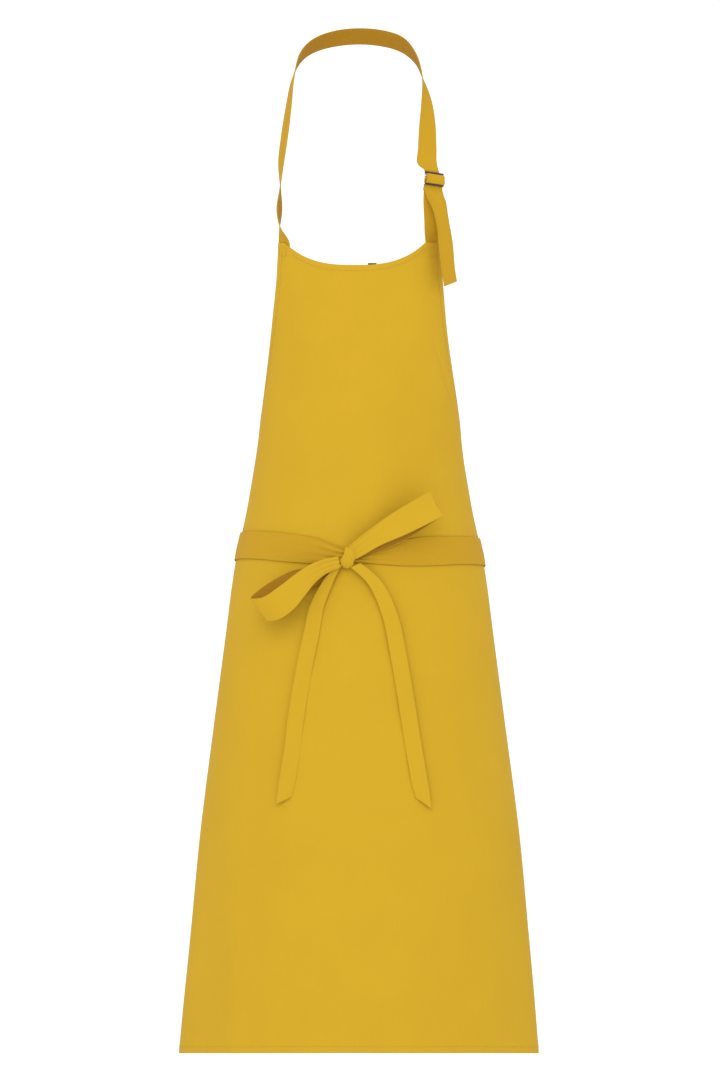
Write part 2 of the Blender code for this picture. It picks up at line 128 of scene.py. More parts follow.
def cotton(name, colour):
    """Twill in one colour, on a UV map in metres."""
    sheen = {"Sheen Weight": 0.025, "Sheen Roughness": 0.45, "Sheen Tint": (1.0, 0.70, 0.22, 1.0)}
    finish = Finish(name, {"Roughness": 0.88, "Specular IOR Level": 0.18, **sheen})
    uv = finish.node("ShaderNodeUVMap", {"uv_map": "cloth"}, {})
    across = finish.node("ShaderNodeSeparateXYZ", {}, {0: uv}, "X")
    along = finish.node("ShaderNodeSeparateXYZ", {}, {0: uv}, "Y")
    diagonal = (across + 0.8 * along) * (2 * math.pi / WALE)
    wale = finish.node("ShaderNodeMath", {"operation": "SINE"}, {0: diagonal})
    place = finish.node("ShaderNodeTexCoord", {}, {}, "Object")
    stretched = finish.node("ShaderNodeMapping", {}, {"Vector": uv, "Scale": YARN_PER_METRE})
    yarn = finish.node("ShaderNodeTexNoise", {}, {"Vector": stretched, "Scale": 1.0, "Detail": 2.0})
    broad = finish.node("ShaderNodeTexNoise", {}, {"Vector": place, "Scale": 16.0, "Detail": 3.0})
    # Mostly random tone from the broad noise and the yarn, with a little painted shade from the wales.
    shade = 0.55 * broad + 0.30 * yarn + 0.05 * wale
    deep = (*[c * f for c, f in zip(colour, DEEP_TONE_AND_SHADE)], 1.0)
    light = (*[c * f for c, f in zip(colour, LIGHTER)], 1.0)
    mixed = finish.node("ShaderNodeMix", {"data_type": "RGBA"}, {0: shade, 6: deep, 7: light}, 2)
    finish.put("Base Color", mixed)
    height = 0.6 * wale + yarn + 1.5 * broad
    bump = {"Strength": 0.35, "Distance": 0.00012, "Height": height}
    finish.put("Normal", finish.node("ShaderNodeBump", {}, bump))
    return finish.material


# --- The panel ---
# The bib and skirt are one cut of cotton with a narrow hem turned twice all round. It hangs from the
# bib's corners, is held in at the waist by the ties and wraps round to the back. It lies on an oval
# section that changes with the drop below the neck rest, with soft folds that grow towards the hem.

BIB_DROP = 0.231  # drops are heights below the neck rest
ARMHOLE_DROP = 0.299  # from the bib's corner to the foot of the armhole
HEM_DROP = 1.131
BIB_HALF = 0.104
SKIRT_HALF = 0.350
NECK_SAG = 0.0252
NECK_MIDDLE = -0.005
NECK_HALF = 0.0785
FLAT_FRONT = 0.0009  # how much the oval's front is flattened
CLOTH = 0.0007
HEM = 0.0115  # width of the turned hem
HEM_FOLDS = 0.0009  # how much the hem's layers lift the inner face
HEM_RISE = 0.0002  # how much they lift the outer face
HEM_DIP = 0.0043  # how much lower the hem hangs at the sides than at the front
ARC = SKIRT_HALF - BIB_HALF  # half-width of the armhole's quarter oval
SIDE_INSET = 0.0094  # from the edge to the hem's stitching
PUCKER = 0.00007  # depth of the hem's puckers and of the groove along its stitching
BACK_FOLD = 0.0075  # how far the skirt's folds stand off at the back, and at the front
FRONT_FOLD = 0.0016
BIB_WAVE = 0.0006
BIB_CREASE = 0.0011  # depth of the crease down the bib's right side
TIE_LEVEL = 0.592
HEM_PULLS = ((-0.125, 0.013, -0.0020), (-0.150, 0.014, 0.0012))  # middle, spread and height
TIE_TUCKS = (  # middle, spread and height, then their lean, drop and reach
    (0.104, 0.0030, 0.0009, 0.25, 0.600, 0.008),
    (0.114, 0.0026, 0.0008, 0.25, 0.600, 0.008),
    (0.124, 0.0032, 0.0007, 0.25, 0.600, 0.008),
    (-0.118, 0.0030, 0.0006, -0.20, 0.602, 0.009),
    (-0.104, 0.0026, 0.0005, -0.20, 0.602, 0.009),
)
SECTIONS = (  # drop, half-width, half-depth and the Y of the front
    (0.231, 0.0925, 0.052, -0.1650),
    (0.290, 0.0960, 0.056, -0.1650),
    (0.343, 0.1000, 0.062, -0.1650),
    (0.416, 0.1090, 0.082, -0.1650),
    (0.483, 0.1180, 0.101, -0.1650),
    (0.530, 0.1260, 0.112, -0.1655),
    (0.580, 0.1370, 0.114, -0.1665),
    (0.673, 0.1500, 0.118, -0.1720),
    (0.784, 0.1640, 0.127, -0.1800),
    (0.890, 0.1760, 0.134, -0.1880),
    (1.000, 0.1855, 0.140, -0.1940),
    (1.131, 0.1990, 0.148, -0.2000),
)


def smooth(table):
    """A function that reads a table, sorted by its first column, on one smooth curve."""
    rows = np.array(table, float)
    keys = rows[:, 0]
    values = rows[:, 1:]
    slopes = np.gradient(values, keys, axis=0)

    def read(at):
        at = np.clip(np.asarray(at, float), keys[0], keys[-1])
        low = np.clip(np.searchsorted(keys, at, side="right") - 1, 0, len(keys) - 2)
        span = keys[low + 1] - keys[low]
        part = (at - keys[low]) / span
        rise = part * part * (3 - 2 * part)
        curve = (1 - rise)[..., None] * values[low] + rise[..., None] * values[low + 1]
        curve += (span * part * (1 - part) ** 2)[..., None] * slopes[low]
        return curve - (span * part**2 * (1 - part))[..., None] * slopes[low + 1]

    return read


def ease(low, high, at):
    """From 0 at low to 1 at high, without a corner."""
    part = np.clip((np.asarray(at, float) - low) / (high - low), 0, 1)
    return part * part * (3 - 2 * part)


def bell(at, middle, spread):
    """From 1 at the middle down to nothing, a few spreads away."""
    return np.exp(-(((np.asarray(at, float) - middle) / spread) ** 2))


def wave(turns):
    """A sine that comes round once for each whole turn."""
    return np.sin(2 * math.pi * turns)


section = smooth(SECTIONS)


def on_section(angle, drop, lift=0.0):
    """Points at angles round the section from its front, and that far outside it."""
    angle, drop, lift = np.broadcast_arrays(angle, drop, lift)
    half, deep, front = np.moveaxis(section(drop), -1, 0)
    behind = np.maximum(0.0, deep * (1 - np.cos(angle)) - FLAT_FRONT)
    outward = np.stack([deep * np.sin(angle), -half * np.cos(angle), 0 * angle], -1)
    outward /= np.linalg.norm(outward, axis=-1, keepdims=True)
    return np.stack([half * np.sin(angle), front + behind, -drop], -1) + lift[..., None] * outward


def angle_at(across, drop):
    """The angles that lengths of cloth from the middle of the front reach, at one drop."""
    half, deep, _ = section(drop)
    angles = np.linspace(0, math.pi, 721)
    steps = np.hypot(half * np.diff(np.sin(angles)), deep * np.diff(np.cos(angles)))
    lengths = np.concatenate(([0.0], np.cumsum(steps)))
    return np.sign(across) * np.interp(np.abs(across), lengths, angles)


def normals_of(middle):
    """The side of a grid of points that its columns and rows, turned in that order, face."""
    down, right = np.gradient(middle, axis=(0, 1))
    normal = np.cross(right, down)
    return normal / np.maximum(np.linalg.norm(normal, axis=-1, keepdims=True), 1e-12)


def new_piece(name, points, faces, material):
    """A smooth piece of one material, with its place in its mesh."""
    mesh = bpy.data.meshes.new(name)
    mesh.from_pydata([tuple(point) for point in points], [], faces)
    mesh.shade_smooth()
    mesh.materials.append(material)
    obj = bpy.data.objects.new(name, mesh)
    bpy.context.scene.collection.objects.link(obj)
    return obj


def cloth_places(across, along):
    """The UV map's grid, in metres, of columns across a strip and rows along it."""
    return np.stack(np.broadcast_arrays(across[None, :], along[:, None]), -1)


def add_sheet(name, middle, over, under, uv, material, bulge=0.0003, over_material=None):
    """A closed sheet of cloth round a grid of points: over and under are its two thicknesses."""
    rows, columns = middle.shape[:2]
    normal = normals_of(middle)
    over = np.broadcast_to(over, (rows, columns))[..., None]
    under = np.broadcast_to(under, (rows, columns))[..., None]
    index = np.arange(rows * columns).reshape(rows, columns)
    loop = np.concatenate([index[0, :-1], index[:-1, -1], index[-1, :0:-1], index[:0:-1, 0]])
    flat = middle.reshape(-1, 3)
    away = np.zeros_like(middle)
    away[0] += middle[0] - middle[1]
    away[-1] += middle[-1] - middle[-2]
    away[:, 0] += middle[:, 0] - middle[:, 1]
    away[:, -1] += middle[:, -1] - middle[:, -2]
    away = away.reshape(-1, 3)[loop]
    rim = flat[loop] + bulge * away / np.maximum(np.linalg.norm(away, axis=1, keepdims=True), 1e-12)
    faced = [(middle + over * normal).reshape(-1, 3), (middle - under * normal).reshape(-1, 3)]
    points = np.concatenate([*faced, rim])
    total = rows * columns
    quads = np.stack([index[:-1, :-1], index[:-1, 1:], index[1:, 1:], index[1:, :-1]], -1).reshape(-1, 4)
    here = np.arange(len(loop))
    after = np.roll(here, -1)
    rims = here + 2 * total
    nexts = after + 2 * total
    upper = np.stack([loop[after], loop, rims, nexts], 1)
    lower = np.stack([nexts, rims, loop + total, loop[after] + total], 1)
    faces = np.concatenate([quads, quads[:, ::-1] + total, upper, lower])
    sheet = new_piece(name, points.tolist(), faces.tolist(), material)
    places = np.concatenate([uv.reshape(-1, 2), uv.reshape(-1, 2), uv.reshape(-1, 2)[loop]])
    layer = sheet.data.uv_layers.new(name="cloth")
    layer.data.foreach_set("uv", places[faces.ravel()].astype(np.float32).ravel())
    if over_material:
        sheet.data.materials.append(over_material)
        sheet.data.polygons.foreach_set("material_index", np.arange(len(faces)) < len(quads))
    return sheet


def cut_half(drop):
    """Half the width of the cut at a drop: an armhole's quarter oval, then the straight sides."""
    share = np.clip((np.asarray(drop, float) - BIB_DROP) / ARMHOLE_DROP, 0, 1)
    return BIB_HALF + ARC * (1 - np.sqrt(1 - share**2))


def neckline(x):
    """How far the curved neckline sags below the bib's corners."""
    return NECK_SAG * np.maximum(0.0, 1 - np.abs((x - NECK_MIDDLE) / NECK_HALF) ** 2.8)


def hem_dip(angle, drop):
    """How much lower the skirt hangs at the sides than at the front."""
    return HEM_DIP * (1 - np.cos(np.minimum(np.abs(angle), 0.5 * math.pi))) * ease(0.90, HEM_DROP, drop)


def panel_folds(across, x, drop):
    """How far the hanging cloth stands off the section."""
    low = ease(0.66, HEM_DROP, drop)
    behind = ease(0.13, 0.33, np.abs(across))
    lift = BACK_FOLD * low * behind * wave(across / 0.118 + 0.25 * drop)
    lift += FRONT_FOLD * low * (1 - behind) * wave(across / 0.17 - 0.1)
    for middle, spread, height in HEM_PULLS:
        lift += height * bell(across, middle, spread) * ease(0.86, 1.05, drop)
    for middle, spread, height, lean, level, reach in TIE_TUCKS:
        lift += height * bell(x, middle + lean * (drop - TIE_LEVEL), spread) * bell(drop, level, reach)
    creased = ease(0.335, 0.355, drop) * (1 - ease(0.405, 0.425, drop)) * (across > 0)
    lift -= BIB_CREASE * bell(x, 0.0850 + 0.29 * (drop - 0.346), 0.0022) * creased
    on_bib = ease(0.26, 0.32, drop) * (1 - ease(0.45, 0.52, drop))
    return lift + BIB_WAVE * on_bib * wave(x / 0.085 + drop / 0.21)


edge_steps = np.array([0.0, 0.5, 1.3, 3.0, 6.0, 8.4, 9.4, 10.4, 11.5, 12.8]) / 1000  # rows over a hem
arm_drops = BIB_DROP + ARMHOLE_DROP * np.sin(np.linspace(0, 0.5 * math.pi, 74))
arm_drops = arm_drops[arm_drops > BIB_DROP + edge_steps[-1] + 0.002]
low_drops = np.linspace(BIB_DROP + ARMHOLE_DROP, HEM_DROP - edge_steps[-1], 122)[1:-1]
drops = np.concatenate([BIB_DROP + edge_steps, arm_drops, low_drops, HEM_DROP - edge_steps[::-1]])
between_hems = np.linspace(-1, 1, 128)[1:-1]
middle, outer_face, inner_face, flat_places = [], [], [], []
for drop in drops:
    half = float(cut_half(drop))
    inside = between_hems * (half - edge_steps[-1])
    across = np.concatenate([-half + edge_steps, inside, half - edge_steps[::-1]])[::-1]
    angle = angle_at(across, drop)
    x = section(drop)[0] * np.sin(angle)
    lowered = drop + neckline(x) * (1 - ease(BIB_DROP + HEM, 0.330, drop))
    lowered = lowered + hem_dip(angle, drop)
    lift = panel_folds(across, x, lowered)
    from_edge = np.minimum(half - np.abs(across), HEM_DROP - drop)
    from_edge = np.minimum(from_edge, drop - BIB_DROP + 0.003)
    hem = 1 - ease(0.0100, 0.0122, from_edge)
    pucker = PUCKER * hem * wave((across + drop) / 0.0075)
    groove = PUCKER * bell(from_edge, SIDE_INSET, 0.0008)
    middle.append(on_section(angle, lowered, lift))
    outer_face.append(CLOTH / 2 + HEM_RISE * hem + pucker - groove)
    inner_face.append(CLOTH / 2 + HEM_FOLDS * hem)
    flat_places.append(np.stack([across, lowered], -1))
panel_cotton = cotton("cotton_panel", PANEL_COLOUR)
grids = [np.array(grid) for grid in (middle, outer_face, inner_face, flat_places)]
panel = add_sheet("panel", *grids, panel_cotton)
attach(panel, "apron")
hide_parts("apron_panel")


# --- The neck facing ---
# A strip of the same cotton is sewn inside the neckline, so that the curve keeps its shape.
# It ends at the two straps, and its free edge is turned under.

FACING_DEPTH = 0.030
FACING_INSET = 0.0016  # how far its top is below the neckline's edge
across = np.linspace(0.074, -0.074, 60)
rows = np.linspace(0.002, FACING_DEPTH - 0.002, 12)
rows = np.concatenate([[0.0, 0.0006], rows, [FACING_DEPTH - 0.0005, FACING_DEPTH]])
x = section(BIB_DROP)[0] * np.sin(angle_at(across, BIB_DROP))
grid = []
for row in rows:
    drop = BIB_DROP + FACING_INSET + neckline(x) + row
    grid.append(on_section(angle_at(across, BIB_DROP + row), drop, -0.00145))
facing = add_sheet("facing_strip", np.array(grid), 0.0003, 0.0003, cloth_places(across, rows), panel_cotton)
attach(facing, "apron")
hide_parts("neck_facing")


# --- The hems' stitching ---
# One row of lockstitch in matching thread holds each hem, about 3 mm to a stitch. Each stitch is
# a short plump length of thread that dips into the cloth at both ends.

STITCH = 0.0031
STITCH_SHARE = 0.74  # of it that shows
THREAD = 0.00021
STITCH_SIDES = 6
STITCH_RINGS = ((-0.50, 0.35), (-0.34, 0.90), (0.0, 1.0), (0.34, 0.90), (0.50, 0.35))  # place, thickness


def thread_finish():
    finish = Finish("thread", {"Roughness": 0.62, "Sheen Weight": 0.10})
    place = finish.node("ShaderNodeTexCoord", {}, {}, "Object")
    ply = finish.node("ShaderNodeTexNoise", {}, {"Vector": place, "Scale": 2500.0, "Detail": 1.0})
    colours = {6: (0.410, 0.232, 0.011, 1.0), 7: (0.480, 0.285, 0.014, 1.0)}
    finish.put("Base Color", finish.node("ShaderNodeMix", {"data_type": "RGBA"}, {0: ply, **colours}, 2))
    bump = {"Strength": 0.4, "Distance": 0.00006, "Height": ply}
    finish.put("Normal", finish.node("ShaderNodeBump", {}, bump))
    return finish.material


thread = thread_finish()


def run_of(points):
    """The length along a line of points, up to each of them."""
    return np.concatenate(([0.0], np.cumsum(np.linalg.norm(np.diff(points, axis=0), axis=1))))


def add_stitches(name, lines):
    """Stitches along lines of points on the cloth, as one piece."""
    turn = np.arange(STITCH_SIDES) * 2 * math.pi / STITCH_SIDES
    points = []
    faces = []
    for line in lines:
        line = np.asarray(line, float)
        run = run_of(line)
        count = max(1, round(run[-1] / STITCH))
        pitch = run[-1] / count
        for number in range(count):
            ends = (number + 0.5 + np.array([-0.5, 0.5]) * STITCH_SHARE) * pitch
            start, stop = (np.array([np.interp(end, run, line[:, k]) for k in range(3)]) for end in ends)
            along = stop - start
            length = np.linalg.norm(along)
            steep = abs(along[2]) >= 0.8 * length
            side = np.cross(along, (1.0, 0.2, 0.1) if steep else (0.31, 0.17, 0.93))
            side /= np.linalg.norm(side)
            up = np.cross(along, side) / length
            base = len(points)
            for part, size in STITCH_RINGS:
                centre = (start + stop) / 2 + part * along
                for angle in turn:
                    points.append(centre + THREAD * size * (math.cos(angle) * side + math.sin(angle) * up))
            last = base + (len(STITCH_RINGS) - 1) * STITCH_SIDES
            for ring in range(base, last, STITCH_SIDES):
                for k in range(STITCH_SIDES):
                    a = ring + k
                    b = ring + (k + 1) % STITCH_SIDES
                    faces.append((a, a + STITCH_SIDES, b + STITCH_SIDES, b))
            faces.append(tuple(base + k for k in range(STITCH_SIDES)))
            faces.append(tuple(last + k for k in reversed(range(STITCH_SIDES))))
    stitches = new_piece(name, points, faces, thread)
    return stitches


def sew(name, node, lines):
    """Stitches that hold the apron, in place of the node that stands for them."""
    seam = add_stitches(name, lines)
    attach(seam, "apron")
    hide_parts(node)
    return seam


def on_panel(across, drop, lift):
    """A line over the panel's outer face, folds included."""
    line = []
    for one_across, one_drop in zip(across, drop):
        angle = angle_at(np.array([one_across]), one_drop)
        one_drop = one_drop + float(hem_dip(angle, one_drop)[0])
        x = section(one_drop)[0] * np.sin(angle)
        fold = panel_folds(np.array([one_across]), x, np.array([one_drop]))
        line.append(on_section(angle, one_drop, fold + lift)[0])
    return line


STITCH_LIFT = CLOTH / 2 + HEM_RISE + 0.0001
BOTTOM_INSET = 0.0070
NECK_INSET = 0.0060
for side, word in ((-1, "left"), (1, "right")):
    turn = np.linspace(0.03, 0.5 * math.pi - 0.10, 150)
    tangent = np.stack([ARC * np.sin(turn), ARMHOLE_DROP * np.cos(turn)], -1)
    tangent /= np.linalg.norm(tangent, axis=1, keepdims=True)
    across = BIB_HALF + ARC * (1 - np.cos(turn)) - SIDE_INSET * tangent[:, 1]
    drop = BIB_DROP + ARMHOLE_DROP * np.sin(turn) + SIDE_INSET * tangent[:, 0]
    line = on_panel(side * across, drop, STITCH_LIFT)
    sew(f"armhole_stitches_{word}", f"armhole_stitching_{word}", [line])
    drop = np.linspace(BIB_DROP + ARMHOLE_DROP + 0.030, HEM_DROP - 2 * BOTTOM_INSET, 160)
    across = np.full(len(drop), side * (SKIRT_HALF - SIDE_INSET))
    sew(f"side_stitches_{word}", f"side_stitching_{word}", [on_panel(across, drop, STITCH_LIFT)])
across = np.linspace(-SKIRT_HALF + SIDE_INSET, SKIRT_HALF - SIDE_INSET, 240)
line = on_panel(across, np.full(len(across), HEM_DROP - BOTTOM_INSET), STITCH_LIFT)
bottom_stitches = sew("bottom_stitches", "bottom_stitching", [line])
across = np.linspace(-0.078, 0.078, 90)
x = section(BIB_DROP)[0] * np.sin(angle_at(across, BIB_DROP))
line = on_panel(across, BIB_DROP + neckline(x) + NECK_INSET, STITCH_LIFT)
neck_stitches = sew("neckline_stitches", "neckline_stitching", [line])


# --- The neck strap ---
# A 20 mm strap of folded cotton, sewn flat behind the bib's left corner. It rises with half a
# twist, passes behind the neck with its inner face to the front, and comes down to the slider,
# where it goes over the middle bar and out again below.

STRAP_WIDTH = 0.020
STRAP_THICK = 0.0011
SEAM_ACROSS = {-1: 0.094, 1: 0.0885}  # from the bib's middle to the left seam and the right one
BEHIND = -0.0018  # how far behind the panel the sewn ends lie
# The strap's cotton carries painted shade, a shade deeper than the panel's.
shaded_strap_cotton = cotton("cotton_strap_shaded", SHADED_TIE_COLOUR)
# Deeper painted shade for the strap's inner face, the side that faces front behind the neck.
inner_shade_cotton = cotton("cotton_inner_shade", INNER_SHADE_COLOUR)
slider_low, slider_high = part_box("strap_slider")
slider_at = (slider_low + slider_high) / 2
slider_frame = Matrix.Translation(slider_at) @ Matrix.Rotation(math.radians(8.5), 4, "Y")
bar = slider_frame.to_3x3() @ Vector((1, 0, 0))


def by_slider(y, z):
    """A point of the slider's middle plane, from millimetres behind its centre and above it."""
    return slider_frame @ Vector((0.0, y / 1000, z / 1000))


def round_bar(radius, start, end, steps):
    """Points round the slider's middle bar, in degrees from its back, over its top."""
    angles = [math.radians(start + (end - start) * i / steps) for i in range(steps + 1)]
    return [by_slider(radius * math.cos(a), radius * math.sin(a)) for a in angles]


def at_seam(side, drop):
    """A place behind a bib corner, and the direction across a strap that lies flat there."""
    angle = float(angle_at(np.array(side * SEAM_ACROSS[side]), BIB_DROP))
    here = on_section(angle, drop, BEHIND)
    there = on_section(angle + 0.02 * side, drop, BEHIND)
    return here, there - here, STRAP_WIDTH


def across_strip(count):
    """Places from -1 to 1 across a strip, closer together at its edges."""
    return np.sin(np.linspace(-0.5 * math.pi, 0.5 * math.pi, count))


def flat_profile(run, width):
    """The profile of a strap that lies flat."""
    return width[:, None] / 2 * across_strip(11), np.zeros((len(run), 11))


def add_ribbon(
    name, stations, steps, thick, material, profile=flat_profile, flat_width=STRAP_WIDTH, inner=None
):
    """A strip through stations of centre, direction across and width, and its grid of points."""
    run = run_of(np.array([np.array(station[0], float) for station in stations]))
    table = []
    for at, (centre, across, width) in zip(run, stations):
        table.append((at, *centre, *(np.array(across, float) / np.linalg.norm(across)), width))
    pieces = [np.linspace(a, b, steps, endpoint=False) for a, b in zip(run[:-1], run[1:])]
    at = np.concatenate([*pieces, run[-1:]])
    values = smooth(table)(at)
    centre = values[:, :3]
    across = values[:, 3:6] / np.linalg.norm(values[:, 3:6], axis=1, keepdims=True)
    along = np.gradient(centre, axis=0)
    normal = np.cross(across, along)
    normal /= np.linalg.norm(normal, axis=1, keepdims=True)
    wide, high = profile(at, values[:, 6])
    middle = centre[:, None] + wide[..., None] * across[:, None] + high[..., None] * normal[:, None]
    places = cloth_places(np.linspace(-0.5, 0.5, middle.shape[1]) * flat_width, at)
    piece = add_sheet(name, middle, thick / 2, thick / 2, places, material, 0.45 * thick, inner)
    return piece, middle


EDGE_COLUMNS = (2, -3)  # a strip's columns under its two rows of stitching
SEAM_RISE = 0.00008  # of the rows' middle above its face


def seam_row(middle, column, lift):
    """A line on a strip's face along one of its columns."""
    return middle[:, column] + lift * normals_of(middle)[:, column]


SEWN_FROM = (0.0240, 0.0120, 0.0008)  # below the bib's corner
neck_route = (
    ((-0.0886, -0.1340, -0.2140), (-0.04, 1.00, 0.0)), ((-0.0893, -0.1330, -0.1950), (0.27, 0.96, 0.0)),
    ((-0.0884, -0.1305, -0.1720), (0.05, 1.00, 0.0)), ((-0.0872, -0.1245, -0.1400), (-0.30, 0.95, 0.0)),
    ((-0.0840, -0.1160, -0.1150), (-0.36, 0.93, 0.0)), ((-0.0790, -0.0960, -0.0780), (-0.28, 0.95, 0.05)),
    ((-0.0740, -0.0710, -0.0450), (-0.12, 0.97, -0.15)), ((-0.0655, -0.0450, -0.0215), (0.05, 0.88, -0.50)),
    ((-0.0465, -0.0170, -0.0060), (0.10, 0.66, -0.75)), ((-0.0225, -0.0030, 0.0009), (0.05, 0.52, -0.85)),
    ((0.0000, 0.0000, 0.0027), (0.0, 0.50, -0.87)), ((0.0225, -0.0030, 0.0009), (-0.05, 0.50, -0.87)),
    ((0.0455, -0.0160, -0.0060), (-0.12, 0.58, -0.81)), ((0.0620, -0.0380, -0.0220), (-0.06, 0.85, -0.52)),
    ((0.0705, -0.0620, -0.0450), (0.05, 0.98, -0.15)), ((0.0750, -0.0860, -0.0740), (0.58, 0.81, 0.0)),
    ((0.0757, -0.1035, -0.1000), (0.88, 0.47, 0.0)), ((0.0755, -0.1195, -0.1250), (0.98, 0.20, 0.0)),
    ((0.0762, -0.1330, -0.1450), (1.00, 0.05, -0.03)),
)
neck_stations = [at_seam(-1, BIB_DROP + below) for below in SEWN_FROM]
neck_stations += [(centre, across, STRAP_WIDTH) for centre, across in neck_route]
neck_stations.append((by_slider(3.2, 8.3) - 0.0040 * bar, bar, 0.0160))
neck_stations.append((by_slider(3.1, 6.1) - 0.0026 * bar, bar, 0.0155))
# It is bunched at one end of the upper slot, and spreads out in front of the bar.
wrap = ((1.0, 3.7), (-1.2, 3.8), (-3.1, 4.8), (-4.3, 4.4), (-5.0, 2.6), (-5.2, 0.0))
wrap += tuple((y, -z) for y, z in wrap[-2::-1])
for number, (y, z) in enumerate(wrap):
    share = number / (len(wrap) - 1)
    slip = 0.0030 * math.sin(math.pi * share) - 0.0020 * (1 - share)
    neck_stations.append((by_slider(y, z) + slip * bar, bar, STRAP_WIDTH - 0.0040 * (1 - share) ** 2))
neck_stations += [(by_slider(2.5, -6.2), bar, STRAP_WIDTH), (by_slider(2.6, -9.7), bar, STRAP_WIDTH)]
STRAP_STEPS = 7  # rows from one station to the next
above_seam = 3 * STRAP_STEPS + 3
to_slider = (len(SEWN_FROM) + len(neck_route)) * STRAP_STEPS + 1
# The over side, the strap's inner face, takes the deeper painted shade.
neck_strap, grid = add_ribbon(
    "neck_strap_cloth", neck_stations, STRAP_STEPS, STRAP_THICK, shaded_strap_cotton, inner=inner_shade_cotton
)
strap_lines = [seam_row(grid, c, STRAP_THICK / 2 + SEAM_RISE)[above_seam:to_slider] for c in EDGE_COLUMNS]
strap_stitches = add_stitches("neck_strap_stitches", strap_lines)
for piece in (neck_strap, strap_stitches):
    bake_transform(piece)
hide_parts("neck_strap", "strap_end_left")


# --- The anchor tab ---
# A short tab of the same strap, sewn flat behind the bib's right corner. It runs up behind the
# slider, turns round the middle bar and is sewn back on itself.

TAB_THICK = 0.0009
anchor_stations = [at_seam(1, BIB_DROP + below) for below in SEWN_FROM]
anchor_stations.append(((0.0822, -0.1362, -0.2120), (0.97, 0.25, 0.0), STRAP_WIDTH))
for y, z in ((5.8, -20.0), (5.6, -13.0), (5.5, -8.0), (4.9, -4.6), (3.7, -1.9), (2.7, -0.1)):
    slip = 0.0014 * float(ease(-4.0, -20.0, z))
    anchor_stations.append((by_slider(y, z) + slip * bar, bar, STRAP_WIDTH))
anchor_stations += [(point, bar, STRAP_WIDTH) for point in round_bar(2.25, 35, 250, 9)]
for y, z in ((0.6, -2.45), (2.2, -3.1), (3.6, -4.8), (4.15, -8.0), (4.15, -14.0)):
    anchor_stations.append((by_slider(y, z), bar, STRAP_WIDTH))
anchor, _ = add_ribbon("anchor_tab", anchor_stations, 6, TAB_THICK, shaded_strap_cotton)
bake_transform(anchor)
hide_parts("strap_anchor", "strap_end_right")


# --- The slider ---
# A flat two-slot slider of nickel-plated steel, stamped and tumbled, held by the anchor tab round
# its middle bar. Its colour is painted: near-black on the bars across, as painted shade between the
# layers of cloth, and near-white at the two ends, as a painted reflection.

PAINTED_REFLECTION_FROM = (0.0102, 0.0112)  # from its middle, sideways
nickel = Finish("nickel", {"Metallic": 1.0, "Specular Tint": (0.4, 0.4, 0.4, 1.0)})
place = nickel.node("ShaderNodeTexCoord", {}, {}, "Object")
wear = nickel.node("ShaderNodeTexNoise", {}, {"Vector": place, "Scale": 700.0, "Detail": 4.0})
sideways = nickel.node("ShaderNodeSeparateXYZ", {}, {0: place}, "X") - float(slider_at.x)
from_middle = nickel.node("ShaderNodeMath", {"operation": "ABSOLUTE"}, {0: sideways})
painted_reflection_share = nickel.node("ShaderNodeMapRange", {}, {0: from_middle, 1: PAINTED_REFLECTION_FROM[0], 2: PAINTED_REFLECTION_FROM[1]})
# Painted shade on the bars and a painted reflection at the ends; the wear noise mottles both a little.
shades = {0: 0.05 * wear + 0.85 * painted_reflection_share, 6: (0.020, 0.018, 0.019, 1.0), 7: (0.88, 0.86, 0.90, 1.0)}
nickel.put("Base Color", nickel.node("ShaderNodeMix", {"data_type": "RGBA"}, shades, 2))
nickel.put("Roughness", 0.16 + 0.22 * wear)
bump = {"Strength": 0.25, "Distance": 0.00003, "Height": wear}
nickel.put("Normal", nickel.node("ShaderNodeBump", {}, bump))
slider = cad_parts["strap_slider"]
slider.data.materials.clear()
slider.data.materials.append(nickel.material)


# --- The strap's free end ---
# What is left of the strap hangs from the slider, down past the seam and a little outwards. It can
# be pulled further through, so its lower part slides.


def slant_end(piece, tip, slope, reach):
    """Cuts a hanging strip's end on a slant: it rises by the slope to the wearer's left."""
    places = np.empty(len(piece.data.vertices) * 3)
    piece.data.vertices.foreach_get("co", places)
    places = places.reshape(-1, 3)
    near = 1 - ease(0.0, reach, places[:, 2] - tip[2])
    places[:, 2] += slope * near * (places[:, 0] - tip[0])
    piece.data.vertices.foreach_set("co", places.ravel())
    piece.data.update()


tail_route = (
    (by_slider(2.6, -9.9), bar), ((0.0838, -0.1390, -0.1780), bar),
    ((0.0885, -0.1420, -0.1900), (0.82, 0.57, 0.0)), ((0.0925, -0.1445, -0.2080), (0.70, 0.71, 0.0)),
    ((0.0960, -0.1460, -0.2325), (0.76, 0.65, 0.0)), ((0.0982, -0.1460, -0.2560), (0.73, 0.68, 0.0)),
    ((0.1012, -0.1455, -0.2765), (0.68, 0.73, 0.0)),
)
tail_stations = [(centre, across, STRAP_WIDTH) for centre, across in tail_route]
strap_tail, grid = add_ribbon("hanging_strap_end", tail_stations, 12, STRAP_THICK, shaded_strap_cotton)
tail_lines = [seam_row(grid, c, -STRAP_THICK / 2 - SEAM_RISE)[4:-3] for c in EDGE_COLUMNS]
left_end, right_end = (seam_row(grid, c, 0)[-4] for c in EDGE_COLUMNS)
tail_lines.append(seam_row(grid, 5, 0)[-4] + (right_end - left_end) * np.linspace(-0.5, 0.5, 9)[:, None])
tail_stitches = add_stitches("strap_tail_stitches", tail_lines)
for piece in (strap_tail, tail_stitches):
    slant_end(piece, tail_stations[-1][0], 0.40, 0.016)
    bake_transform(piece)
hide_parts("strap_tail", "strap_tail_end")


# --- The stitched squares ---
# The strap and the anchor tab are held to the bib's corners by a small rectangle of stitching
# each, sewn from the front through all the layers.


